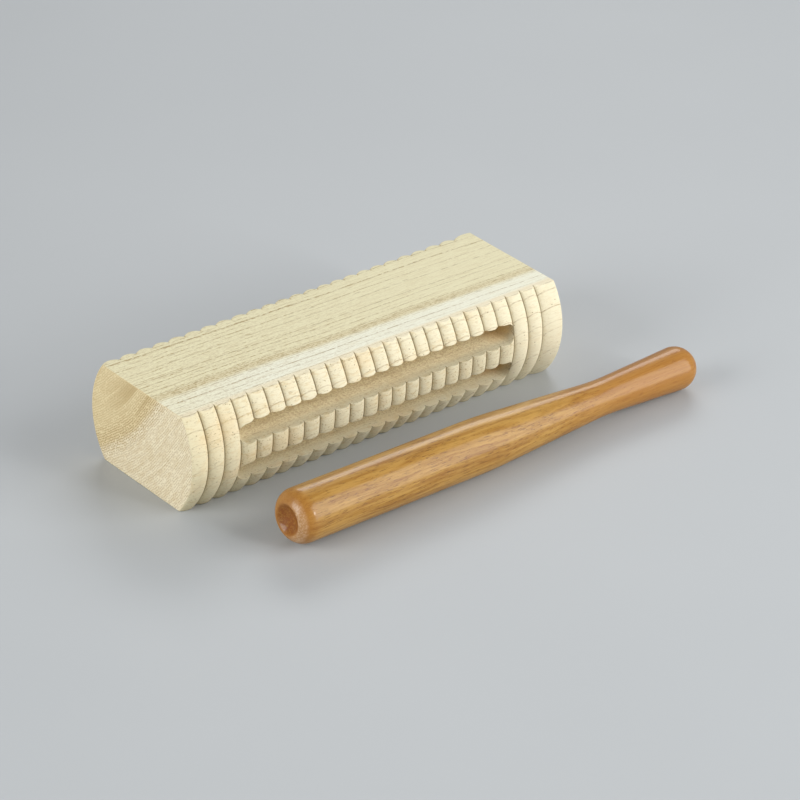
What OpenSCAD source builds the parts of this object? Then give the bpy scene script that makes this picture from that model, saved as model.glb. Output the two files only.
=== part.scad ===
// Wooden guiro block with two side slots, and its turned beater. Millimetres.
// The block lies on its lower flat, and the origin is the middle of that flat.
// +X runs along the block, -Y is the slotted side that the beater lies beside, +Z is up.

/* [Block] */
// Length of the block between its two end faces
block_len = 200; // [180:1:220]
// Height of the block between its two flats
block_h = 44.5; // [40:0.5:50]
// Height of the turned block's axis above its lower flat
axis_h = 23; // [21:0.1:24]
// Diameter of the block over the crests of its beads
crest_d = 71; // [66:0.5:78]
// Number of narrow beads between the two wide end beads
bead_count = 23; // [21:1:25]
// Rounding radius of a narrow bead
bead_r = 5.4; // [4.9:0.1:6]
// Mean width of the two wide end beads, from the end face to the first valley
end_bead_w = 9.6; // [9:0.1:12]
// Distance from each end face to the crest of its end bead
end_crest = 4; // [3:0.1:5]
// How far the row of beads and the slots sit from the middle of the block
bead_shift = -1; // [-2:0.1:2]

/* [Slots] */
// Height of each slot, which is also the diameter of its round ends
slot_h = 8.8; // [7:0.2:9.4]
// Height of the beaded rail between the two slots
rail_h = 9.1; // [8:0.1:11]
// Height of the middle of the rail above the lower flat
rail_mid = 21.7; // [21:0.1:23]
// Depth of each slot, from the crests of the beads
slot_depth = 42; // [20:1:50]
// Number of narrow beads left whole at each end of the slots
whole_beads = 2; // [1:1:5]

/* [Beater] */
// Length of the beater
beater_len = 225.5; // [210:0.5:250]
// Diameter of the thick end
grip_d = 23.5; // [21:0.1:25]
// Distance from the thick end to where its taper starts
grip_len = 96; // [80:0.5:105]
// Diameter of the waist
waist_d = 15.9; // [14:0.1:17]
// Distance from the thick end to the waist
waist_at = 172.5; // [165:0.5:176]
// Diameter of the round tip
tip_d = 19.4; // [18.5:0.1:21]
// Rounding radius of the edge of the thick end
end_round = 7.5; // [5:0.5:8]
// Diameter of the dish in the thick end
dish_d = 14; // [11:0.5:15]
// Depth of the dish
dish_depth = 2.5; // [1.5:0.5:4]

/* [Layout] */
// Clear gap between the block's crests and the thick end of the beater
beater_gap = 26.6; // [15:0.2:60]
// How far the thick end of the beater lies inside the block's left end face
beater_inset = 17.2; // [0:0.2:40]
// Turn of the beater towards the block, in degrees
beater_yaw = 0.6; // [-4:0.1:3]

/* [Hidden] */

// Facets that stand for a full circle
ROUND = 96;
// How far a cutting shape runs past the surface that it cuts
MARGIN = 1;
// The slots stop this far short of the valley beside the first whole bead
SLOT_STOP = 0.5;
// Radii of the two long arcs along the beater: where its taper starts, and at its waist
TAPER_R = 300;
HOLLOW_R = 140;
// Steps along each arc of the beater's outline
ARC_STEPS = 12;

// Block
crest_r = crest_d / 2;
bead_ring_r = crest_r - bead_r;
pitch = (block_len - 2 * end_bead_w) / bead_count;
valley_depth = bead_r - sqrt(pow(bead_r, 2) - pow(pitch / 2, 2));
end_crest_x = block_len / 2 - end_crest;

// Rounding radius of an end bead of this width: it runs from the first valley over its own crest
function end_bead_r(width) =
    (pow(width - end_crest, 2) + pow(valley_depth, 2)) / (2 * valley_depth);

// Slots
slot_len = (bead_count - 2 * whole_beads) * pitch - 2 * SLOT_STOP;
slot_rise = (rail_h + slot_h) / 2;

// Beater: arc centres as [distance from the thick end, distance from the axis]
grip_r = grip_d / 2;
waist_r = waist_d / 2;
tip_r = tip_d / 2;
dish_r = dish_d / 2;
taper_centre = [grip_len, grip_r - TAPER_R];
hollow_centre = [waist_at, waist_r + HOLLOW_R];
tip_centre = [beater_len - tip_r, 0];

// Slope of the straight stretch that touches both a convex arc and the hollow of the waist
function shared_slope(convex_centre, convex_r) =
    let (d = hollow_centre - convex_centre)
    abs(atan2(d.x, d.y)) - acos((convex_r + HOLLOW_R) / norm(d));
taper_slope = abs(shared_slope(taper_centre, TAPER_R));
flare_slope = abs(shared_slope(tip_centre, tip_r));

// The beater leans until its taper and its tip both touch the surface it lies on
tip_run = tip_centre.x - taper_centre.x;
taper_drop = TAPER_R - grip_r;
lean = asin((TAPER_R - tip_r) / norm([tip_run, taper_drop])) - atan2(taper_drop, tip_run);
beater_rise = tip_r + tip_centre.x * sin(lean);
beater_start = [beater_inset - block_len / 2, -(crest_r + beater_gap + grip_r), beater_rise];

// Points of an arc as [distance from the axis, distance along it], from the step called first.
// Angle 0 faces away from the axis and angle 90 faces the tip.
function arc_points(centre, r, from, to, first = 0) = [
    for (i = [first : ARC_STEPS])
        let (a = from + (to - from) * i / ARC_STEPS)
        [max(0, centre.y + r * cos(a)), centre.x + r * sin(a)]
];

// The dish is part of a sphere that meets the rounded edge at the dish's rim, at distance 0
rim_angle = -acos((dish_r - (grip_r - end_round)) / end_round);
edge_centre = [-end_round * sin(rim_angle), grip_r - end_round];
dish_sphere_r = (pow(dish_r, 2) + pow(dish_depth, 2)) / (2 * dish_depth);
dish_angle = asin(dish_r / dish_sphere_r);
dish_centre = [dish_depth - dish_sphere_r, 0];

// Half outline of the beater, from the bottom of its dish round to the middle of its tip
beater_outline = concat(
    arc_points(dish_centre, dish_sphere_r, 90, 90 - dish_angle),
    arc_points(edge_centre, end_round, rim_angle, 0, first = 1),
    arc_points(taper_centre, TAPER_R, 0, taper_slope),
    arc_points(hollow_centre, -HOLLOW_R, taper_slope, -flare_slope),
    arc_points(tip_centre, tip_r, -flare_slope, 90)
);

// One bead of the half section, with its crest at this distance along the block
module bead(crest_x, r) {
    translate([crest_r - r, crest_x])
        circle(r = r, $fn = ROUND);
}

// Half section of the turned block: narrow beads between two wide ones, with sharp valleys
module bead_profile() {
    intersection() {
        union() {
            translate([0, -block_len / 2])
                square([bead_ring_r, block_len]);
            for (i = [0 : bead_count - 1])
                bead(bead_shift + (i - (bead_count - 1) / 2) * pitch, bead_r);
            for (side = [-1, 1])
                bead(side * end_crest_x, end_bead_r(end_bead_w - side * bead_shift));
        }
        translate([0, -block_len / 2])
            square([crest_r + MARGIN, block_len]);
    }
}

// Outline of a slot, seen from the side
module slot_outline() {
    square([slot_len - slot_h, slot_h], center = true);
    for (side = [-1, 1])
        translate([side * (slot_len - slot_h) / 2, 0])
            circle(d = slot_h, $fn = ROUND);
}

// One slot, cut into the -Y side, at this height above or below the middle of the rail
module slot_cut(rise) {
    translate([bead_shift, -crest_r - MARGIN, rail_mid + rise])
        rotate([-90, 0, 0])
            linear_extrude(slot_depth + MARGIN)
                slot_outline();
}

module guiro_block() {
    color("wheat")
        difference() {
            intersection() {
                translate([0, 0, axis_h])
                    rotate([0, 90, 0])
                        rotate_extrude($fn = ROUND)
                            bead_profile();
                translate([-block_len / 2 - MARGIN, -crest_r - MARGIN, 0])
                    cube([block_len + 2 * MARGIN, crest_d + 2 * MARGIN, block_h]);
            }
            for (side = [-1, 1])
                slot_cut(side * slot_rise);
        }
}

module beater() {
    color("peru")
        translate(beater_start)
            rotate([0, 90 + lean, beater_yaw])
                rotate_extrude($fn = ROUND)
                    polygon(beater_outline);
}

guiro_block();
beater();
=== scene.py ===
import math
import random

import bmesh
import bpy
from mathutils import Matrix, Vector, noise


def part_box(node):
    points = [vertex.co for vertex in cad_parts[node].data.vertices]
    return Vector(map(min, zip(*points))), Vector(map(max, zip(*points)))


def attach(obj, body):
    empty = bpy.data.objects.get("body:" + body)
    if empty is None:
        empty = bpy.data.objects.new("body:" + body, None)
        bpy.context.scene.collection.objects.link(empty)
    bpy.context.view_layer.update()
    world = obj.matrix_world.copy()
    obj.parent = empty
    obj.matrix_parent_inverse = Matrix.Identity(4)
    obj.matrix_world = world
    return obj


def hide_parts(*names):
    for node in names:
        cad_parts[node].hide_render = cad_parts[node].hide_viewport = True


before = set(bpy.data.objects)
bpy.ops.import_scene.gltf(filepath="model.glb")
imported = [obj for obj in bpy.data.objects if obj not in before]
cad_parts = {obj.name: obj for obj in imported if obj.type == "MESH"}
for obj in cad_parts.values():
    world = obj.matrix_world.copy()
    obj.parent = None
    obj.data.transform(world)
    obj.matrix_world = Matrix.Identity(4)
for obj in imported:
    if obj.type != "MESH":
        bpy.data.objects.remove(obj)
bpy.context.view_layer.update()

# Lengths are in metres. MM turns millimetres into metres.
MM = 0.001

# ---------------------------------------------------------------- camera

VIEW_AZIMUTH = math.radians(-41.2)
VIEW_ELEVATION = math.radians(29.83)
VIEW_ROLL = math.radians(2.42)
VIEW_DISTANCE = 1528.5 * MM
VIEW_TARGET = Vector((17.05, -25.04, 12.0)) * MM
LENS_MM = 162.87
SENSOR_MM = 36.0


def make_camera():
    """The camera stands where the photograph was taken from, level apart from a slight roll."""
    flat = math.cos(VIEW_ELEVATION)
    back = Vector((
        math.sin(VIEW_AZIMUTH) * flat,
        -math.cos(VIEW_AZIMUTH) * flat,
        math.sin(VIEW_ELEVATION),
    ))
    right = Vector((0, 0, 1)).cross(back).normalized()
    up = back.cross(right)
    data = bpy.data.cameras.new("camera")
    data.lens = LENS_MM
    data.sensor_width = SENSOR_MM
    camera = bpy.data.objects.new("camera", data)
    bpy.context.collection.objects.link(camera)
    level = Matrix((right, up, back)).transposed()
    place = Matrix.Translation(VIEW_TARGET + back * VIEW_DISTANCE)
    camera.matrix_world = place @ level.to_4x4() @ Matrix.Rotation(VIEW_ROLL, 4, "Z")
    bpy.context.scene.camera = camera


# ---------------------------------------------------------------- small mesh helpers


def spread(start, end, steps):
    """Even values from start to end, both included."""
    return [start + (end - start) * i / steps for i in range(steps + 1)]


def rounded(before, corner, after, steps):
    """Points that round a corner: a parabola from before to after, without its first point."""
    points = []
    for t in spread(0.0, 1.0, steps)[1:]:
        a = before.lerp(corner, t)
        b = corner.lerp(after, t)
        points.append(a.lerp(b, t))
    return points


def quad(bm, corners):
    """A face on these vertices, unless some of them are the same one."""
    if len(set(corners)) == len(corners):
        bm.faces.new(corners)


def finished_object(name, bm, crease_angle):
    """Turns a bmesh into a smooth-shaded object whose sharp edges stay sharp."""
    bmesh.ops.recalc_face_normals(bm, faces=bm.faces)
    mesh = bpy.data.meshes.new(name)
    bm.to_mesh(mesh)
    bm.free()
    mesh.shade_smooth()
    mesh.set_sharp_from_angle(angle=crease_angle)
    piece = bpy.data.objects.new(name, mesh)
    bpy.context.collection.objects.link(piece)
    return piece


# ---------------------------------------------------------------- guiro block

BLOCK_LO, BLOCK_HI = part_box("guiro_block")
HALF_LEN = (BLOCK_HI.x - BLOCK_LO.x) / 2
CREST_R = (BLOCK_HI.y - BLOCK_LO.y) / 2

# The same driving sizes as the CAD part
AXIS_H = 23.0 * MM
BEAD_COUNT = 23
BEAD_R = 5.4 * MM
END_BEAD_W = 9.6 * MM
END_CREST = 4.0 * MM
BEAD_SHIFT = -1.0 * MM
SLOT_R = 4.4 * MM
RAIL_H = 9.1 * MM
RAIL_MID = 21.7 * MM
SLOT_DEPTH = 42.0 * MM
WHOLE_BEADS = 2
SLOT_STOP = 0.5 * MM

# Levels are measured from the turned axis
TOP_LEVEL = BLOCK_HI.z - AXIS_H
BASE_LEVEL = BLOCK_LO.z - AXIS_H
UPPER_SLOT = RAIL_MID - AXIS_H + RAIL_H / 2 + SLOT_R
LOWER_SLOT = RAIL_MID - AXIS_H - RAIL_H / 2 - SLOT_R

PITCH = (2 * HALF_LEN - 2 * END_BEAD_W) / BEAD_COUNT
VALLEY_DEPTH = BEAD_R - math.sqrt(BEAD_R**2 - (PITCH / 2) ** 2)
VALLEY_R = CREST_R - VALLEY_DEPTH
FIRST_VALLEY = HALF_LEN - END_BEAD_W
SLOT_HALF_LEN = (BEAD_COUNT / 2 - WHOLE_BEADS) * PITCH - SLOT_STOP
SLOT_BACK_Y = SLOT_DEPTH - CREST_R

# How the hand-fed lathe leaves the beads: they drift from an even pitch in slow waves, and stray a little
BEAD_SEED = 11
VALLEY_DRIFT = (1.75 * MM, 1.35 * MM, -0.55 * MM)
VALLEY_WANDER = 0.12 * MM
CREST_LOSS = 0.14 * MM
KERF_DEPTH = 0.22 * MM
KERF_HALF_W = 0.30 * MM

# How the saw and the router leave the edges
EDGE_R = 0.25 * MM
LIP_R = 0.22 * MM
END_EDGE_R = 0.3 * MM
BACK_FILLET = 0.6 * MM
LIP_RAGGED = 0.3 * MM

# The routed look starts this far inside the valleys, and is complete this much further in
ROUTED_START = 1.0 * MM
ROUTED_FADE = 5.0 * MM

# Wear, as (size of its patches, greatest depth, noise seed)
BLOCK_WEAR = (
    (14 * MM, 0.05 * MM, 3.0),
    (1.6 * MM, 0.045 * MM, 8.0),
    (0.5 * MM, 0.02 * MM, 21.0),
)

# Creases sharper than this stay sharp
BLOCK_CREASE = math.radians(40)

# How finely the block is meshed
KERF_FRACTIONS = (0.0, 0.3, 0.65, 1.0)
BEAD_STEPS = 10
LAND_STEPS = 14
FLAT_STEPS = 14
FAR_STEPS = 38
WALL_STEPS = 12
BACK_STEPS = 4
CORNER_STEPS = 3
CAP_RINGS = 9
SLOT_END_STEPS = 9
LEAST_STEP = 0.05 * MM

# The rows of a slot's wall crowd towards its lip by this power
WALL_CROWDING = 1.7

# Lengths below these count as nothing, when places are compared and when vertices are joined
TINY = 1e-9
MERGED = 1e-7


def arc_radius(half_width, sag):
    """Radius of the arc that drops by sag over half_width."""
    return (half_width**2 + sag**2) / (2 * sag)


def turned_beads():
    """Every bead from left to right as (left valley, right valley, centre, crest radius, arc radius)."""
    chance = random.Random(BEAD_SEED)
    valleys = []
    for i in range(BEAD_COUNT + 1):
        along = math.pi * i / BEAD_COUNT
        drift = sum(size * math.sin((wave + 1) * along) for wave, size in enumerate(VALLEY_DRIFT))
        wander = chance.uniform(-VALLEY_WANDER, VALLEY_WANDER)
        valleys.append(BEAD_SHIFT - FIRST_VALLEY + i * PITCH + drift + wander)
    end_x = HALF_LEN - END_CREST
    left_r = arc_radius(valleys[0] + end_x, VALLEY_DEPTH)
    right_r = arc_radius(end_x - valleys[-1], VALLEY_DEPTH)
    beads = [(-HALF_LEN, valleys[0], -end_x, CREST_R, left_r)]
    for left, right in zip(valleys, valleys[1:]):
        crest = CREST_R - chance.uniform(0, CREST_LOSS)
        arc_r = arc_radius((right - left) / 2, crest - VALLEY_R)
        beads.append((left, right, (left + right) / 2, crest, arc_r))
    beads.append((valleys[-1], HALF_LEN, end_x, CREST_R, right_r))
    return beads


BEADS = turned_beads()


def block_radius(x):
    """Radius of the turned block at x: convex beads with a fine tool cut at each valley."""
    left, right, centre, crest, arc_r = next(b for b in BEADS if x <= b[1] + TINY)
    radius = crest - arc_r + math.sqrt(max(arc_r**2 - (x - centre) ** 2, 0))
    for valley in (left, right):
        reach = abs(x - valley) / KERF_HALF_W
        if abs(valley) < HALF_LEN and reach < 1:
            radius -= KERF_DEPTH * (1 - reach)
    return radius


def slot_half_height(x):
    """Half the height of a slot at x. Both ends of a slot are half circles."""
    run = min(SLOT_HALF_LEN - abs(x - BEAD_SHIFT), SLOT_R)
    return math.sqrt(max(SLOT_R**2 - (SLOT_R - run) ** 2, 0)) if run > 0 else 0.0


def in_slot(x):
    """Whether the slots reach x."""
    return abs(x - BEAD_SHIFT) <= SLOT_HALF_LEN + TINY


def lip_ease(half):
    """How far a slot's lip is rounded, where half of the slot's height is this."""
    return min(LIP_R, 0.8 * half)


def block_stations():
    """Where the block's cross sections lie along X, each with how far its outline is drawn in."""
    places = set()
    for left, right, *_ in BEADS:
        near = [fraction * KERF_HALF_W for fraction in KERF_FRACTIONS]
        places.update(left + d for d in near)
        places.update(right - d for d in near)
        places.update(spread(left + KERF_HALF_W, right - KERF_HALF_W, BEAD_STEPS))
    for side in (-1, 1):
        for i in range(SLOT_END_STEPS + 1):
            turn = math.pi / 2 * i / SLOT_END_STEPS
            places.add(BEAD_SHIFT + side * (SLOT_HALF_LEN - SLOT_R * (1 - math.cos(turn))))
    stations = []
    for x in sorted(places):
        slot_end = abs(abs(x - BEAD_SHIFT) - SLOT_HALF_LEN) < TINY
        crowded = stations and x - stations[-1][0] < LEAST_STEP and not slot_end
        if abs(x) < HALF_LEN - END_EDGE_R and not crowded:
            stations.append((x, 0.0))
    for i in range(CORNER_STEPS + 1):
        turn = math.pi / 2 * i / CORNER_STEPS
        reach = HALF_LEN - END_EDGE_R * (1 - math.sin(turn))
        inset = END_EDGE_R * (1 - math.cos(turn))
        stations.append((reach, inset))
        stations.insert(0, (-reach, inset))
    return stations


def slot_section(x, radius, middle, is_open):
    """One slot's outline at x, from its upper lip in, round its back and out again."""

    def surface(w):
        return Vector((-math.sqrt(radius**2 - w**2), w))

    if not is_open:
        points = 2 * (CORNER_STEPS + WALL_STEPS + CORNER_STEPS) + BACK_STEPS
        return [surface(middle)] * points
    half = slot_half_height(x)
    upper = middle + half + ragged(x, middle + 1) * half / SLOT_R
    lower = middle - half + ragged(x, middle - 1) * half / SLOT_R
    ease = lip_ease(half)
    fillet = min(BACK_FILLET, 0.8 * half)
    walls = []
    for w, side in ((upper, 1), (lower, -1)):
        lip = surface(w)
        deep = Vector((SLOT_BACK_Y - BACK_FILLET, w))
        inner = lip + Vector((ease, 0))
        points = rounded(surface(w + side * ease), lip, inner, CORNER_STEPS)
        points += [inner.lerp(deep, t**WALL_CROWDING) for t in spread(0, 1, WALL_STEPS)[1:]]
        back = Vector((SLOT_BACK_Y, w))
        points += rounded(deep, back, back - Vector((0, side * fillet)), CORNER_STEPS)
        walls.append(points)
    going_in, coming_out = walls
    rise = [going_in[-1].lerp(coming_out[-1], t) for t in spread(0, 1, BACK_STEPS)[1:]]
    out = coming_out[::-1][1:] + [surface(lower - ease)]
    return going_in + rise + out


def ragged(x, row):
    """How far a slot's lip strays at x, because the router tears the grain."""
    slow = noise.noise(Vector((x / (9 * MM), row * 7.3, 0.0)))
    quick = noise.noise(Vector((x / (1.3 * MM), row * 3.1, 5.0)))
    return LIP_RAGGED * (0.6 * slow + 0.4 * quick)


def block_section(x, inset, is_open):
    """The closed outline at x as (y, height above the axis) points, and which of them line the slots.
    It runs along the top to the slotted side, down past both slots, back along the base and up the
    far side."""
    radius = block_radius(max(-HALF_LEN, min(HALF_LEN, x))) - inset
    top = TOP_LEVEL - inset
    base = BASE_LEVEL + inset
    half = slot_half_height(x) if is_open else 0.0
    ease = lip_ease(half)

    def surface(w, side=-1):
        return Vector((side * math.sqrt(radius**2 - w**2), w))

    def land(start, end, steps, side=-1):
        return [surface(w, side) for w in spread(start, end, steps)[1:]]

    def flat_corner(side, level, towards_flat):
        on_flat = surface(level, side) - Vector((side * EDGE_R, 0))
        on_side = surface(level - math.copysign(EDGE_R, level), side)
        first, last = (on_side, on_flat) if towards_flat else (on_flat, on_side)
        return rounded(first, surface(level, side), last, CORNER_STEPS)

    def flat(level, towards):
        reach = towards * (surface(level, 1).x - EDGE_R)
        return [Vector((y, level)) for y in spread(-reach, reach, FLAT_STEPS)[1:]]

    points = flat(top, -1)
    points += flat_corner(-1, top, False)
    points += land(top - EDGE_R, UPPER_SLOT + half + ease, LAND_STEPS)
    lined = []
    for middle, below in ((UPPER_SLOT, LOWER_SLOT + half + ease), (LOWER_SLOT, base + EDGE_R)):
        slot = slot_section(x, radius, middle, is_open)
        lined.append((len(points) - 1, len(points) + len(slot) - 1))
        points += slot
        points += land(middle - half - ease, below, LAND_STEPS)
    points += flat_corner(-1, base, True)
    points += flat(base, 1)
    points += flat_corner(1, base, False)
    points += land(base + EDGE_R, top - EDGE_R, FAR_STEPS, 1)
    points += flat_corner(1, top, True)
    return points, lined


def weathered(bm, amounts):
    """Wears the surface unevenly, always inwards, so that the piece stays within its CAD size."""
    bm.normal_update()
    moves = []
    for v in bm.verts:
        depth = 0.0
        for size, amount, seed in amounts:
            wave = noise.noise(v.co / size + Vector((seed, 0, seed)))
            depth += amount * (0.5 + 0.5 * wave)
        moves.append(v.normal * depth)
    for v, move in zip(bm.verts, moves):
        v.co -= move


def tool_marks(bm):
    """Notes on each vertex how far it lies in a valley's cut, which the wood's colour darkens partly as
    painted shade, and how far inside a slot.
    """
    cut = bm.verts.layers.float.new("cut")
    routed = bm.verts.layers.float.new("routed")
    valleys = [left for left, *_ in BEADS[1:]]
    rail_level = (UPPER_SLOT + LOWER_SLOT) / 2
    reach = RAIL_H / 2 + 2 * SLOT_R + MM
    for v in bm.verts:
        level = v.co.z - AXIS_H
        from_axis = math.hypot(v.co.y, level)
        nearest = min(abs(v.co.x - valley) for valley in valleys)
        on_turned = from_axis > VALLEY_R - 2 * KERF_DEPTH
        v[cut] = max(0.0, 1 - nearest / KERF_HALF_W) if on_turned else 0.0
        depth = v.co.y + math.sqrt(max(0.0, (VALLEY_R - ROUTED_START) ** 2 - level**2))
        by_slots = in_slot(v.co.x) and abs(level - rail_level) < reach and v.co.y < SLOT_BACK_Y + MM
        v[routed] = min(1.0, max(0.0, depth / ROUTED_FADE)) if by_slots else 0.0


def close_cap(bm, rim, x):
    """Closes an end face with rings that shrink towards its middle."""
    centre = Vector((x, 0, AXIS_H))
    outer = rim
    for ring in range(1, CAP_RINGS):
        inner = [bm.verts.new(centre + (v.co - centre) * (1 - ring / CAP_RINGS)) for v in rim]
        for i in range(len(rim)):
            quad(bm, (outer[i - 1], outer[i], inner[i], inner[i - 1]))
        outer = inner
    middle = bm.verts.new(centre)
    for i in range(len(rim)):
        quad(bm, (outer[i - 1], outer[i], middle))


def make_block():
    """The block, lofted through its cross sections, with both slots open."""
    bm = bmesh.new()
    loops = []
    opened = []
    for x, inset in block_stations():
        is_open = in_slot(x)
        points, lined = block_section(x, inset, is_open)
        loops.append([bm.verts.new((x, p.x, p.y + AXIS_H)) for p in points])
        opened.append(is_open)
    slot_rows = {row for start, end in lined for row in range(start, end)}
    rows = len(loops[0])
    for s in range(len(loops) - 1):
        for row in range(rows):
            if row in slot_rows and not (opened[s] and opened[s + 1]):
                continue
            after = (row + 1) % rows
            quad(bm, (loops[s][row], loops[s][after], loops[s + 1][after], loops[s + 1][row]))
    for loop in (loops[0], loops[-1]):
        rim = []
        for v in loop:
            if not rim or (v.co - rim[-1].co).length > 10 * MERGED:
                rim.append(v)
        close_cap(bm, rim, rim[0].co.x)
    bmesh.ops.remove_doubles(bm, verts=bm.verts, dist=MERGED)
    bmesh.ops.dissolve_degenerate(bm, dist=MERGED, edges=bm.edges)
    bmesh.ops.recalc_face_normals(bm, faces=bm.faces)
    tool_marks(bm)
    weathered(bm, BLOCK_WEAR)
    return finished_object("guiro_block_turned", bm, BLOCK_CREASE)


# ---------------------------------------------------------------- beater

# The same driving sizes as the CAD part
BEATER_LEN = 225.5 * MM
GRIP_R = 11.75 * MM
GRIP_LEN = 96.0 * MM
WAIST_R = 7.95 * MM
WAIST_AT = 172.5 * MM
TIP_R = 9.7 * MM
END_ROUND = 7.5 * MM
DISH_R = 7.0 * MM
DISH_DEPTH = 2.5 * MM
TAPER_ARC = 300.0 * MM
HOLLOW_ARC = 140.0 * MM
BEATER_YAW = math.radians(0.6)
BEATER_INSET = 17.2 * MM
BEATER_GAP = 26.6 * MM

# Rounding of the dish's rim, and how the red of the dish fades over it
RIM_EASE = 0.9 * MM
DISH_SPILL = 0.6 * MM
DISH_FADE = 2.2 * MM

# Wear, as (size of its patches, greatest depth, noise seed)
BEATER_WEAR = ((24 * MM, 0.06 * MM, 5.0),)

# Creases sharper than this stay sharp
BEATER_CREASE = math.radians(60)

# How finely the beater is meshed
BEATER_SIDES = 112
BEATER_ARC_STEPS = 22
RIM_STEPS = 6
GRIP_STEPS = 36
TAPER_STEPS = 20
FLARE_STEPS = 16

TAPER_CENTRE = Vector((GRIP_LEN, GRIP_R - TAPER_ARC))
HOLLOW_CENTRE = Vector((WAIST_AT, WAIST_R + HOLLOW_ARC))
TIP_CENTRE = Vector((BEATER_LEN - TIP_R, 0.0))


def shared_slope(centre, radius):
    """Slope of the straight stretch that touches a convex arc and the hollow of the waist."""
    d = HOLLOW_CENTRE - centre
    return abs(abs(math.atan2(d.x, d.y)) - math.acos((radius + HOLLOW_ARC) / d.length))


def arc(centre, radius, start, end, steps=BEATER_ARC_STEPS):
    """Points along an arc. Angle 0 faces away from the beater's axis and a quarter turn faces its tip."""
    turns = spread(start, end, steps)
    return [centre + radius * Vector((math.sin(t), math.cos(t))) for t in turns]


def between(start, end, steps):
    """Even points on the straight stretch between two points, without those two."""
    return [start.lerp(end, t) for t in spread(0, 1, steps)[1:-1]]


def beater_outline():
    """Half outline of the beater as (distance from its thick end, radius), from dish to tip."""
    rim_angle = -math.acos((DISH_R - (GRIP_R - END_ROUND)) / END_ROUND)
    edge_centre = Vector((-END_ROUND * math.sin(rim_angle), GRIP_R - END_ROUND))
    dish_sphere = (DISH_R**2 + DISH_DEPTH**2) / (2 * DISH_DEPTH)
    dish_centre = Vector((DISH_DEPTH - dish_sphere, 0.0))
    dish_angle = math.asin(DISH_R / dish_sphere)
    taper = shared_slope(TAPER_CENTRE, TAPER_ARC)
    flare = shared_slope(TIP_CENTRE, TIP_R)
    quarter = math.pi / 2

    ease_in_dish = RIM_EASE / dish_sphere
    ease_on_edge = RIM_EASE / END_ROUND
    dish = arc(dish_centre, dish_sphere, quarter, quarter - dish_angle + ease_in_dish)
    edge = arc(edge_centre, END_ROUND, rim_angle + ease_on_edge, 0)
    rim = rounded(dish[-1], Vector((0.0, DISH_R)), edge[0], RIM_STEPS)
    grip = [Vector((s, GRIP_R)) for s in spread(END_ROUND, GRIP_LEN, GRIP_STEPS)[2:-1]]
    shoulder = arc(TAPER_CENTRE, TAPER_ARC, 0, taper)
    waist = arc(HOLLOW_CENTRE, -HOLLOW_ARC, taper, -flare)
    tip = arc(TIP_CENTRE, TIP_R, -flare, quarter)
    points = dish[1:] + rim + edge[1:] + grip + shoulder
    points += between(shoulder[-1], waist[0], TAPER_STEPS) + waist
    points += between(waist[-1], tip[0], FLARE_STEPS) + tip[:-1]
    return points, dish[0], Vector((BEATER_LEN, 0.0))


def beater_place():
    """Where the beater lies: it leans until its taper and its tip both touch the floor."""
    run = TIP_CENTRE.x - TAPER_CENTRE.x
    drop = TAPER_ARC - GRIP_R
    lean = math.asin((TAPER_ARC - TIP_R) / math.hypot(run, drop)) - math.atan2(drop, run)
    start = Vector((
        BEATER_INSET - HALF_LEN,
        -(CREST_R + BEATER_GAP + GRIP_R),
        TIP_R + TIP_CENTRE.x * math.sin(lean),
    ))
    return Matrix.Translation(start) @ Matrix.Rotation(BEATER_YAW, 4, "Z") @ Matrix.Rotation(lean, 4, "Y")


BEATER_PLACE = beater_place()


def make_beater():
    """The beater, turned round its axis and laid in its place."""
    points, dish_bottom, tip = beater_outline()
    bm = bmesh.new()
    rings = []
    for p in points:
        ring = []
        for i in range(BEATER_SIDES):
            turn = 2 * math.pi * i / BEATER_SIDES
            ring.append(bm.verts.new((p.x, p.y * math.cos(turn), p.y * math.sin(turn))))
        rings.append(ring)
    for left, right in zip(rings, rings[1:]):
        for i in range(BEATER_SIDES):
            quad(bm, (left[i - 1], left[i], right[i], right[i - 1]))
    for end, ring in ((dish_bottom, rings[0]), (tip, rings[-1])):
        pole = bm.verts.new((end.x, 0, 0))
        for i in range(BEATER_SIDES):
            quad(bm, (ring[i - 1], ring[i], pole))
    bmesh.ops.recalc_face_normals(bm, faces=bm.faces)
    dished = bm.verts.layers.float.new("dished")
    for v in bm.verts:
        off_axis = math.hypot(v.co.y, v.co.z)
        in_end = v.co.x < DISH_DEPTH + MM
        inside = (DISH_R + DISH_SPILL - off_axis) / DISH_FADE
        v[dished] = max(0.0, min(1.0, inside)) if in_end else 0.0
    weathered(bm, BEATER_WEAR)
    bm.transform(BEATER_PLACE)
    return finished_object("beater_turned", bm, BEATER_CREASE)


# ---------------------------------------------------------------- material helpers


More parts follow.
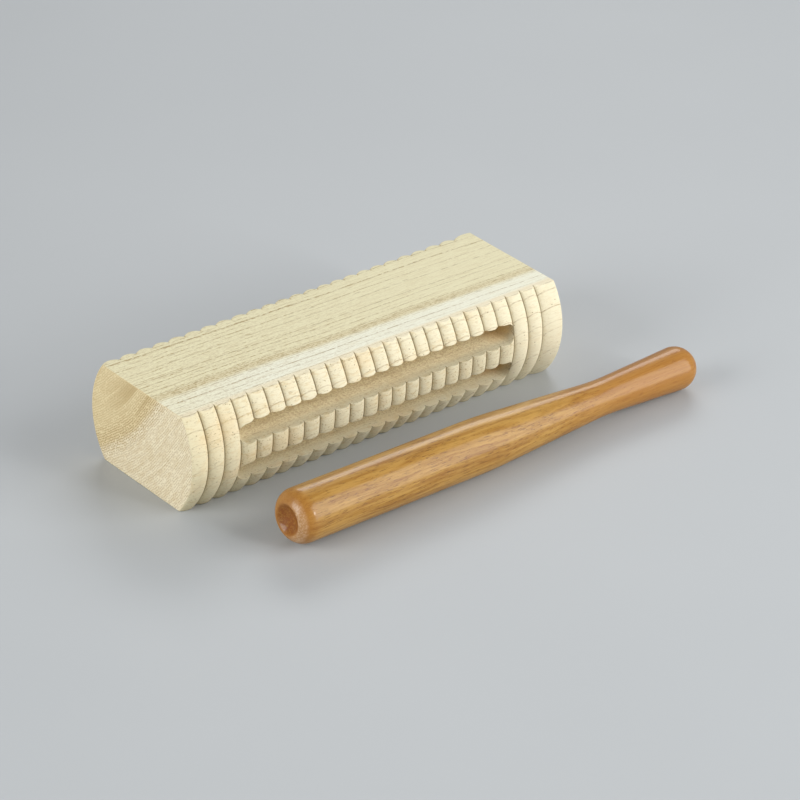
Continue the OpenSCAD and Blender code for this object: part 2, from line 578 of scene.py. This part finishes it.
class Tree:
    """A material's node tree, built with short calls."""

    def __init__(self, name):
        self.material = bpy.data.materials.new(name)
        self.material.use_nodes = True
        self.nodes = self.material.node_tree.nodes
        self.links = self.material.node_tree.links
        self.shader = self.nodes["Principled BSDF"]

    def add(self, kind, inputs=None, **settings):
        """A new node of this kind, with its settings and inputs."""
        node = self.nodes.new("ShaderNode" + kind)
        for key, value in settings.items():
            setattr(node, key, value)
        for key, value in (inputs or {}).items():
            self.feed(node.inputs[key], value)
        return node

    def feed(self, socket, value):
        """Links another node's output to a socket, or sets the socket to a plain value."""
        if isinstance(value, bpy.types.NodeSocket):
            self.links.new(value, socket)
        else:
            socket.default_value = value

    def math(self, operation, a, b=0.0):
        return self.add("Math", {0: a, 1: b}, operation=operation).outputs[0]

    def plus(self, a, b):
        return self.math("ADD", a, b)

    def minus(self, a, b):
        return self.math("SUBTRACT", a, b)

    def times(self, a, b):
        return self.math("MULTIPLY", a, b)

    def either(self, a, b):
        return self.math("MAXIMUM", a, b)

    def inverse(self, a):
        return self.math("SUBTRACT", 1.0, a)

    def scaled(self, vector, factors):
        return self.add("VectorMath", {0: vector, 1: factors}, operation="MULTIPLY").outputs[0]

    def ramp(self, value, low, high, out_low=0.0, out_high=1.0):
        """Follows value smoothly from out_low at low to out_high at high."""
        inputs = {
            "Value": value,
            "From Min": low,
            "From Max": high,
            "To Min": out_low,
            "To Max": out_high,
        }
        return self.add("MapRange", inputs, interpolation_type="SMOOTHSTEP").outputs["Result"]

    def plateau(self, value, rise, full, fading, gone):
        """1 from full to fading, and 0 before rise and after gone."""
        return self.times(self.ramp(value, rise, full), self.ramp(value, gone, fading))

    def mix(self, factor, a, b, blend="MIX"):
        """Colour b laid over colour a, as far as the factor says."""
        node = self.nodes.new("ShaderNodeMix")
        node.data_type = "RGBA"
        node.blend_type = blend
        colours = [s for s in node.inputs if s.type == "RGBA"]
        self.feed(node.inputs["Factor"], factor)
        self.feed(colours[0], a)
        self.feed(colours[1], b)
        return next(s for s in node.outputs if s.type == "RGBA")

    def noise(self, vector, cell, detail=3.0, roughness=0.5):
        """Noise whose cells are this many millimetres along each axis of vector."""
        inputs = {
            "Vector": self.stretched(vector, cell),
            "Scale": 1.0,
            "Detail": detail,
            "Roughness": roughness,
        }
        return self.add("TexNoise", inputs).outputs["Fac"]

    def ring_noise(self, out, rate):
        """Noise that is the same all round a growth ring."""
        inputs = {"W": self.times(out, rate), "Scale": 1.0}
        return self.add("TexNoise", inputs, noise_dimensions="1D").outputs["Fac"]

    def mark(self, name):
        """A value that the mesh carries on its vertices."""
        return self.add("Attribute", attribute_name=name).outputs["Fac"]

    def stretched(self, vector, cell):
        """The point in a grid of cells of this size."""
        return self.scaled(vector, tuple(1 / size for size in cell))

    def pores(self, vector, cell, size, share, order=1.0, dimensions="3D"):
        """1 in the vessels of the wood, one to a cell. share is the part of the cells that hold one."""
        inputs = {"Vector": self.stretched(vector, cell), "Scale": 1.0, "Randomness": order}
        spot = self.add("TexVoronoi", inputs, feature="F1", voronoi_dimensions=dimensions)
        chance = self.add("SeparateColor", {0: spot.outputs["Color"]}).outputs[0]
        held = self.math("LESS_THAN", chance, share)
        return self.times(self.ramp(spot.outputs["Distance"], size, 0.5 * size), held)

    def in_trunk(self, vector, pith, drift, sway):
        """The point as (along the trunk, round its growth ring, out from the pith), in millimetres, and
        the last of these alone. The rings drift towards -Y along the piece, and sway."""
        along, across, up = self.add("SeparateXYZ", {0: vector}).outputs
        across = self.plus(self.minus(across, pith[0]), self.times(along, drift))
        up = self.minus(up, pith[1])
        out = self.math("SQRT", self.plus(self.times(across, across), self.times(up, up)))
        warp = self.noise(vector, (70, 30, 30), 2.0)
        out = self.plus(out, self.times(self.minus(warp, 0.5), sway))
        round_ring = self.times(self.math("ARCTAN2", up, across), math.hypot(*pith))
        return self.add("CombineXYZ", {0: along, 1: round_ring, 2: out}).outputs[0], out

    def years(self, out, spacing, unevenness):
        """How far through its growth ring a point is, from 0 to 1."""
        drift = self.times(self.ring_noise(out, 0.11), unevenness)
        return self.math("FRACT", self.plus(self.math("DIVIDE", out, spacing), drift))

    def shade(self, colour, height, strength, distance):
        """Gives the shader its colour, and a bump of this height."""
        self.feed(self.shader.inputs["Base Color"], colour)
        bump = self.add("Bump", {"Height": height, "Strength": strength, "Distance": distance})
        self.feed(self.shader.inputs["Normal"], bump.outputs[0])


def millimetres(tree):
    """Where a point of the piece lies, in millimetres. It moves with the piece."""
    place = tree.add("TexCoord").outputs["Object"]
    return tree.scaled(place, (1 / MM,) * 3)


# ---------------------------------------------------------------- pale wood of the block

HEARTWOOD = (0.775, 0.722, 0.485, 1)
SAPWOOD = (0.850, 0.840, 0.690, 1)
EDGE_CREAM = (0.830, 0.750, 0.550, 1)
BAND_TAN = (0.640, 0.545, 0.330, 1)
RING_BROWN = (0.400, 0.290, 0.130, 1)
PORE_BROWN = (0.270, 0.190, 0.090, 1)
SCORCHED = (0.500, 0.405, 0.215, 1)
WARM_LIGHT = (0.935, 0.870, 0.770, 1)
WARM_TINT = (0.860, 0.735, 0.500, 1)
SAWN_TINT = (1.000, 0.960, 0.960, 1)
STAIN = (0.680, 0.535, 0.280, 1)
RAIL_PAINTED_SHADE = (0.880, 0.875, 0.850, 1)
ROUTED_TAN = (0.980, 0.880, 0.610, 1)
ROUTED_BROWN = (0.560, 0.400, 0.180, 1)
SLOT_END_ORANGE = (0.960, 0.700, 0.360, 1)
CUT_BROWN_AND_SHADE = (0.250, 0.170, 0.080, 1)

# In millimetres: the tree's middle as (y, z), and the radius of the ring where its heartwood ends
PITH = (95, 112)
HEART_R = 126.0

# In millimetres, for the masks: the top flat, and the ends of the slots from the middle of the bead row
TOP_FLAT = BLOCK_HI.z / MM
SLOT_END = SLOT_HALF_LEN / MM


class PaleWood(Tree):
    """Bare ring-porous wood: heartwood, a brown band, then sapwood towards the slotted side.
    Each method lays one thing over the colour that it is given."""

    def __init__(self):
        super().__init__("pale_ash_wood")
        self.place = millimetres(self)
        self.along, self.across, self.height = self.add("SeparateXYZ", {0: self.place}).outputs
        self.grain, self.out = self.in_trunk(self.place, PITH, drift=0.022, sway=3.0)

        # How a face was made: planed flat, sawn across, or turned, and rougher towards the left
        facing = self.add("SeparateXYZ", {0: self.add("TexCoord").outputs["Normal"]}).outputs
        near_top = self.ramp(self.height, TOP_FLAT - 2.0, TOP_FLAT - 0.7)
        near_base = self.ramp(self.height, 2.0, 0.7)
        level = self.ramp(self.math("ABSOLUTE", facing[2]), 0.97, 0.995)
        self.planed = self.times(level, self.either(near_top, near_base))
        self.sawn = self.ramp(self.math("ABSOLUTE", facing[0]), 0.90, 0.98)
        self.turned = self.inverse(self.either(self.planed, self.sawn))
        self.rougher = self.ramp(self.along, 75.0, 10.0, 0.30, 1.0)

        # Where each year's early wood is, and the sapwood, the brown band and the close rings beside it
        year = self.years(self.out, spacing=4.3, unevenness=1.7)
        early = self.either(self.ramp(year, 0.08, 0.03), self.ramp(year, 0.99, 1.0))
        self.early = self.either(early, self.times(self.planed, self.ramp(year, 0.12, 0.04)))
        self.sap = self.ramp(self.out, HEART_R - 0.5, HEART_R + 3.5)
        self.band = self.plateau(self.out, HEART_R - 3.0, HEART_R - 1.0, HEART_R + 0.5, HEART_R + 2.0)
        self.close = self.plateau(self.out, HEART_R - 2.5, HEART_R - 0.5, HEART_R + 2.6, HEART_R + 3.6)
        pore_share = self.either(self.ramp(self.early, 0.0, 1.0, 0.02, 0.80), self.times(self.close, 0.35))
        self.vessels = self.pores(self.grain, (6, 0.9, 0.6), 0.42, pore_share)

        # Unevenness that several layers share
        self.patchy = self.noise(self.grain, (9, 5, 1.1))
        self.cloud = self.noise(self.place, (22, 10, 10))
        self.dashes = self.noise(self.grain, (1.9, 1.4, 0.5), 2.0, 0.6)
        self.fuzz = self.noise(self.place, (0.9, 0.6, 0.6), 3.0, 0.7)

    def timber(self):
        """The wood's colour before any line, pore or wear."""
        yellower_end = self.ramp(self.along, -100.0, -45.0, 0.55, 1.0)
        white = self.times(self.sap, self.either(self.sawn, yellower_end))
        colour = self.mix(white, HEARTWOOD, SAPWOOD)
        corner = self.times(self.planed, self.ramp(self.across, -23.5, -25.5))
        colour = self.mix(corner, colour, EDGE_CREAM)
        banded = self.times(self.band, self.ramp(self.sawn, 0.0, 1.0, 0.50, 0.15))
        colour = self.mix(banded, colour, BAND_TAN)
        fibre = self.noise(self.place, (11, 0.5, 0.5), 3.0, 0.65)
        fibrous = self.ramp(fibre, 0.46, 0.64, 0.0, 0.46)
        fibrous = self.times(fibrous, self.ramp(self.sap, 0.0, 1.0, 1.0, 0.55))
        return self.mix(fibrous, colour, BAND_TAN)

    def grit(self, colour):
        """Fine brown specks in the flats, most of them in the brown band and to the left."""
        grit = self.noise(self.grain, (1.5, 0.5, 0.4), 2.0, 0.7)
        amount = self.plus(self.times(self.band, 0.45), self.ramp(self.along, -90.0, 80.0, 0.36, 0.12))
        specks = self.times(self.ramp(grit, 0.50, 0.62), amount)
        return self.mix(self.times(specks, self.planed), colour, RING_BROWN)

    def faint_lines(self, colour):
        """Short faint lines on the flats, between the years."""
        swayed = self.plus(self.out, self.times(self.patchy, 1.5))
        line = self.ramp(self.math("FRACT", self.math("DIVIDE", swayed, 1.9)), 0.26, 0.10)
        line = self.times(line, self.ramp(self.patchy, 0.42, 0.58, 0.10, 0.60))
        line = self.times(self.times(line, self.planed), self.ramp(self.along, -90.0, 80.0, 1.4, 0.25))
        line = self.times(line, self.ramp(self.dashes, 0.44, 0.56, 0.15, 1.0))
        return self.mix(self.times(line, self.ramp(self.sap, 0.0, 1.0, 1.0, 0.35)), colour, RING_BROWN)

    def year_lines(self, colour):
        """A broken brown line where each year starts, darkest on the flats."""
        close_year = self.math("FRACT", self.math("DIVIDE", self.out, 1.1))
        close_line = self.times(self.times(self.close, self.ramp(close_year, 0.30, 0.10)), 0.6)
        line = self.either(self.early, close_line)
        line = self.times(line, self.ramp(self.patchy, 0.30, 0.56, 0.35, 1.0))
        in_gaps = self.ramp(self.turned, 0.0, 1.0, 0.10, 0.50)
        line = self.times(line, self.ramp(self.dashes, 0.42, 0.54, in_gaps, 1.0))
        line = self.times(line, self.ramp(self.ring_noise(self.out, 0.31), 0.34, 0.54, 0.40, 1.0))
        strength = self.plus(self.times(self.planed, 0.55), self.ramp(self.sawn, 0.0, 1.0, 0.60, 0.30))
        faded = self.times(self.planed, self.ramp(self.along, -70.0, 90.0, 0.0, 0.55))
        line = self.times(line, self.minus(strength, faded))
        colour = self.mix(self.times(self.times(line, self.planed), 0.6), colour, PORE_BROWN)
        return self.mix(line, colour, RING_BROWN)

    def open_pores(self, colour):
        """The vessels, fainter in the sapwood."""
        shown = self.times(self.vessels, self.ramp(self.sap, 0.0, 1.0, 0.55, 0.36))
        return self.mix(shown, colour, PORE_BROWN)

    def end_grain(self, colour):
        """The sawn ends: dark patches from the saw in the heartwood, wavy rings, and rows of vessels."""
        zone = self.noise(self.grain, (500, 60, 3.4), 2.0)
        scorch = self.times(self.ramp(zone, 0.42, 0.50, 0.10, 1.0), self.ramp(self.height, 20.0, 40.0))
        scorch = self.times(scorch, self.sawn)
        scorch = self.times(scorch, self.ramp(self.out, HEART_R - 1.0, HEART_R - 4.0))
        scorch = self.times(scorch, self.ramp(self.out, HEART_R - 22.0, HEART_R - 11.0, 0.1, 1.0))
        colour = self.mix(self.times(scorch, 0.75), colour, SCORCHED)
        wavy = self.noise(self.grain, (500, 7, 1.2), 3.0, 0.6)
        colour = self.mix(self.times(self.sawn, self.ramp(wavy, 0.44, 0.58, 0.0, 0.34)), colour, BAND_TAN)
        _, round_ring, _ = self.add("SeparateXYZ", {0: self.grain}).outputs
        on_end = self.add("CombineXYZ", {0: round_ring, 1: self.out}).outputs[0]
        dots = self.pores(on_end, (1.15, 0.95, 1), 0.42, 0.92, order=0.35, dimensions="2D")
        from_heart = self.math("ABSOLUTE", self.minus(self.out, HEART_R))
        rows = self.ramp(from_heart, 9.0, 2.0, 0.46, 0.95)
        colour = self.mix(self.times(self.times(self.sawn, dots), rows), colour, RING_BROWN)
        return self.mix(self.times(self.sawn, 0.6), colour, SAWN_TINT, "MULTIPLY")

    def turned_stains_and_warm_light(self, colour):
        """Painted warm light that dims and warms every face off the flats, and on the beads warm patches,
        bruised blotches and dark specks.
        """
        rough_turned = self.times(self.turned, self.rougher)
        tint = self.times(rough_turned, self.ramp(self.cloud, 0.48, 0.70, 0.0, 0.50))
        colour = self.mix(tint, colour, WARM_TINT)
        # Painted light: every face but the flats is multiplied by a warm, slightly darker tone, as if a
        # warm lamp lit the sides and ends.
        colour = self.mix(self.inverse(self.planed), colour, WARM_LIGHT, "MULTIPLY")
        blotch = self.noise(self.place, (6.0, 3.0, 1.1), 3.0, 0.6)
        blotched = self.times(rough_turned, self.ramp(blotch, 0.52, 0.66, 0.0, 0.50))
        colour = self.mix(blotched, colour, STAIN)
        speck_share = self.ramp(self.cloud, 0.40, 0.62, 0.10, 0.50)
        specks = self.pores(self.place, (2.2, 1.5, 1.5), 0.20, speck_share)
        return self.mix(self.times(self.times(specks, self.turned), 0.70), colour, PORE_BROWN)

    def shaded_and_torn_rail(self, colour):
        """The rail between the slots: painted shade makes it darker and greyer, and torn grain peppers it
        like the rougher beads.
        """
        rail = self.plateau(self.height, 14.0, 17.5, 26.0, 29.0)
        rail = self.times(rail, self.ramp(self.across, -28.0, -31.0))
        from_middle = self.math("ABSOLUTE", self.minus(self.along, BEAD_SHIFT / MM))
        rail = self.times(rail, self.ramp(from_middle, SLOT_END + 1.0, SLOT_END - 3.0))
        # Painted shade: the rail between the two slots is multiplied darker and greyer.
        colour = self.mix(self.times(rail, self.turned), colour, RAIL_PAINTED_SHADE, "MULTIPLY")
        pepper = self.noise(self.place, (1.0, 0.6, 0.6), 2.0, 0.6)
        share = self.ramp(self.plus(self.patchy, self.times(rail, 0.22)), 0.40, 0.66, 0.12, 0.85)
        share = self.times(self.times(share, 0.72), self.either(self.rougher, rail))
        pepper = self.times(self.ramp(pepper, 0.56, 0.66), share)
        return self.mix(self.times(pepper, self.turned), colour, RING_BROWN)

    def tool_cuts(self, colour):
        """The routed walls of the slots, a warmer orange towards their right end, and a dark line in each
        valley that is partly the brown of the tool's cut and partly painted shade in the crease.
        """
        chatter = self.noise(self.place, (12, 1.6, 1.6), 3.0, 0.6)
        tan = self.mix(self.ramp(self.fuzz, 0.44, 0.60, 0.0, 0.60), ROUTED_TAN, ROUTED_BROWN)
        tan = self.mix(self.ramp(chatter, 0.48, 0.64, 0.0, 0.30), tan, ROUTED_BROWN)
        # The walls turn a warmer orange towards the right end of the slots.
        tan = self.mix(self.ramp(self.along, SLOT_END - 15.0, SLOT_END - 4.0, 0.0, 0.55), tan, SLOT_END_ORANGE)
        colour = self.mix(self.times(self.mark("routed"), 0.92), colour, tan)
        # Partly painted shade: the valleys are darkened brown, for the thin brown line of the tool's cut
        # and for the shade in the crease beside it.
        cut = self.times(self.mark("cut"), self.inverse(self.planed))
        return self.mix(self.times(cut, 0.90), colour, CUT_BROWN_AND_SHADE)

    def relief(self):
        """The height of the surface's fine bumps: fibres, the fuzz in the slots, and open vessels."""
        fibres = self.noise(self.place, (1.4, 0.35, 0.35))
        fuzz = self.times(self.times(self.fuzz, self.mark("routed")), 2.0)
        return self.minus(self.plus(self.times(fibres, 0.5), fuzz), self.vessels)


def pale_wood():
    """The block's material, with its layers from the timber up."""
    wood = PaleWood()
    colour = wood.timber()
    layers = (
        wood.grit,
        wood.faint_lines,
        wood.year_lines,
        wood.open_pores,
        wood.end_grain,
        wood.turned_stains_and_warm_light,
        wood.shaded_and_torn_rail,
        wood.tool_cuts,
    )
    for layer in layers:
        colour = layer(colour)
    wood.shader.inputs["Roughness"].default_value = 0.75
    wood.shader.inputs["Specular IOR Level"].default_value = 0.3
    wood.shade(colour, wood.relief(), strength=0.4, distance=0.12 * MM)
    return wood.material


# ---------------------------------------------------------------- lacquered wood of the beater

GOLDEN = (0.345, 0.168, 0.026, 1)
HONEY = (0.465, 0.260, 0.060, 1)
ENDS_TONE_AND_SHADE = (0.360, 0.140, 0.022, 1)
RUSSET = (0.230, 0.088, 0.014, 1)
DARK_PORE = (0.105, 0.042, 0.010, 1)
DISH_RED = (0.215, 0.060, 0.004, 1)
RIM_PAINTED_HIGHLIGHT = (0.640, 0.440, 0.270, 1)

# In millimetres: the beater's thick end, the line of its axis, and its tree's middle as (y, z)
THICK_END_X = (BEATER_INSET - HALF_LEN) / MM
BEATER_Y = -(CREST_R + BEATER_GAP + GRIP_R) / MM
BEATER_PITH = (-95, -38)


def lacquered_wood():
    """Golden hardwood, full of short dark pores, under a satin lacquer."""
    tree = Tree("lacquered_hardwood")
    straightened = tree.add("Mapping", {"Vector": millimetres(tree), "Rotation": (0, 0, -BEATER_YAW)})
    place = straightened.outputs[0]
    along, across, _ = tree.add("SeparateXYZ", {0: place}).outputs
    grain, _ = tree.in_trunk(place, BEATER_PITH, drift=0.03, sway=7.0)

    broad = tree.noise(grain, (60, 12, 3.2), 3.0, 0.55)
    streak = tree.noise(grain, (26, 3.0, 1.2), 4.0, 0.6)
    fibre = tree.noise(grain, (7, 0.9, 0.6), 3.0, 0.65)
    colour = tree.mix(tree.ramp(streak, 0.33, 0.66), GOLDEN, HONEY)
    colour = tree.mix(tree.ramp(broad, 0.54, 0.68, 0.0, 0.38), colour, RUSSET)
    scratch = tree.times(tree.ramp(fibre, 0.56, 0.68), tree.ramp(broad, 0.38, 0.60, 0.25, 0.85))
    colour = tree.mix(scratch, colour, RUSSET)

    fine = tree.noise(grain, (3.4, 0.6, 0.45), 2.0, 0.6)
    tick = tree.times(tree.ramp(fine, 0.57, 0.66), tree.ramp(streak, 0.60, 0.42, 0.30, 1.0))
    colour = tree.mix(tree.times(tick, 0.65), colour, DARK_PORE)
    vessels = tree.pores(grain, (8, 1.1, 0.6), 0.34, tree.ramp(broad, 0.42, 0.64, 0.05, 0.40))
    colour = tree.mix(tree.times(vessels, 0.60), colour, DARK_PORE)

    # Darker and redder towards the thick end and towards the tip; towards the tip it is partly painted
    # shade that dims the sheen on the waist and the ball.
    at_thick_end = tree.ramp(along, THICK_END_X + 9.0, THICK_END_X + 1.0)
    at_tip = tree.ramp(along, THICK_END_X + 125.0, THICK_END_X + 190.0, 0.0, 0.85)
    colour = tree.mix(tree.times(tree.either(at_thick_end, at_tip), 0.72), colour, ENDS_TONE_AND_SHADE)

    dished = tree.mark("dished")
    mottled = tree.noise(place, (0.9, 0.9, 0.9), 2.0, 0.7)
    red = tree.mix(tree.ramp(mottled, 0.46, 0.64, 0.0, 0.7), DISH_RED, GOLDEN)
    colour = tree.mix(tree.times(dished, 0.92), colour, red)
    # Painted highlight: a pale, speckled band on the rounded rim round the dish, strongest towards -Y,
    # where the lamps' highlight falls.
    rim = tree.ramp(along, THICK_END_X + 2.8, THICK_END_X + 0.7)
    rim = tree.times(rim, tree.ramp(dished, 0.60, 0.15))
    rim = tree.times(rim, tree.ramp(across, BEATER_Y + 1.0, BEATER_Y - 5.0, 0.10, 1.0))
    colour = tree.mix(tree.times(rim, tree.ramp(mottled, 0.36, 0.64, 0.18, 0.58)), colour, RIM_PAINTED_HIGHLIGHT)

    tree.shader.inputs["Roughness"].default_value = 0.45
    tree.shader.inputs["Specular IOR Level"].default_value = 0.18
    tree.shader.inputs["Coat Weight"].default_value = 0.38
    tree.shader.inputs["Coat Roughness"].default_value = 0.14
    ripple = tree.noise(place, (12, 2.5, 2.5), 2.0)
    tree.shade(colour, tree.minus(ripple, tree.times(vessels, 0.6)), strength=0.15, distance=0.1 * MM)
    return tree.material


# ---------------------------------------------------------------- studio

FLOOR_REACH = 3.0
FLOOR_LEVEL = -0.02 * MM
FLOOR_PATCH = 1 / 6
FLOOR_GREY = (0.44, 0.46, 0.47, 1)
FLOOR_PALER = (0.47, 0.49, 0.50, 1)
ROOM_COLOUR = (0.93, 0.96, 1.0, 1)
ROOM_STRENGTH = 0.28


def make_floor():
    """A plain pale floor, just under the object."""
    bm = bmesh.new()
    corners = ((-1, -1), (1, -1), (1, 1), (-1, 1))
    bm.faces.new([bm.verts.new((x * FLOOR_REACH, y * FLOOR_REACH, FLOOR_LEVEL)) for x, y in corners])
    mesh = bpy.data.meshes.new("floor")
    bm.to_mesh(mesh)
    bm.free()
    floor = bpy.data.objects.new("floor", mesh)
    bpy.context.collection.objects.link(floor)
    tree = Tree("pale_floor")
    unevenness = tree.noise(tree.add("TexCoord").outputs["Object"], (FLOOR_PATCH,) * 3)
    tree.feed(tree.shader.inputs["Base Color"], tree.mix(unevenness, FLOOR_GREY, FLOOR_PALER))
    tree.shader.inputs["Roughness"].default_value = 0.55
    mesh.materials.append(tree.material)


def softbox(name, place, target, width, height, power):
    """A soft rectangular lamp at place that faces target."""
    data = bpy.data.lights.new(name, "AREA")
    data.shape = "RECTANGLE"
    data.size = width
    data.size_y = height
    data.energy = power
    lamp = bpy.data.objects.new(name, data)
    bpy.context.collection.objects.link(lamp)
    lamp.location = place
    lamp.rotation_euler = (Vector(target) - Vector(place)).to_track_quat("-Z", "Y").to_euler()


def make_lights():
    """A tall softbox and a small lamp in front, one softbox at the left, one behind, and an even room."""
    middle = (0.0, -0.03, 0.02)
    softbox("front_softbox", (0.75, -1.10, 0.60), middle, 1.1, 1.3, 20.5)
    softbox("front_lamp", (0.36, -1.24, 0.55), middle, 0.22, 0.26, 3)
    softbox("end_softbox", (-1.25, 0.1, 0.55), middle, 0.8, 0.8, 13)
    softbox("back_softbox", (0.85, 0.82, 0.82), middle, 0.9, 0.42, 6)
    world = bpy.data.worlds.new("room")
    world.use_nodes = True
    background = world.node_tree.nodes["Background"]
    background.inputs["Color"].default_value = ROOM_COLOUR
    background.inputs["Strength"].default_value = ROOM_STRENGTH
    bpy.context.scene.world = world
    bpy.context.scene.view_settings.view_transform = "Standard"


# ---------------------------------------------------------------- assembly


def dress(piece, material, body, node):
    """Gives a piece its material, and puts it in a CAD node's place on that node's body."""
    piece.data.materials.append(material)
    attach(piece, body)
    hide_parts(node)


make_camera()
dress(make_block(), pale_wood(), "block", "guiro_block")
dress(make_beater(), lacquered_wood(), "beater", "beater")
make_floor()
make_lights()
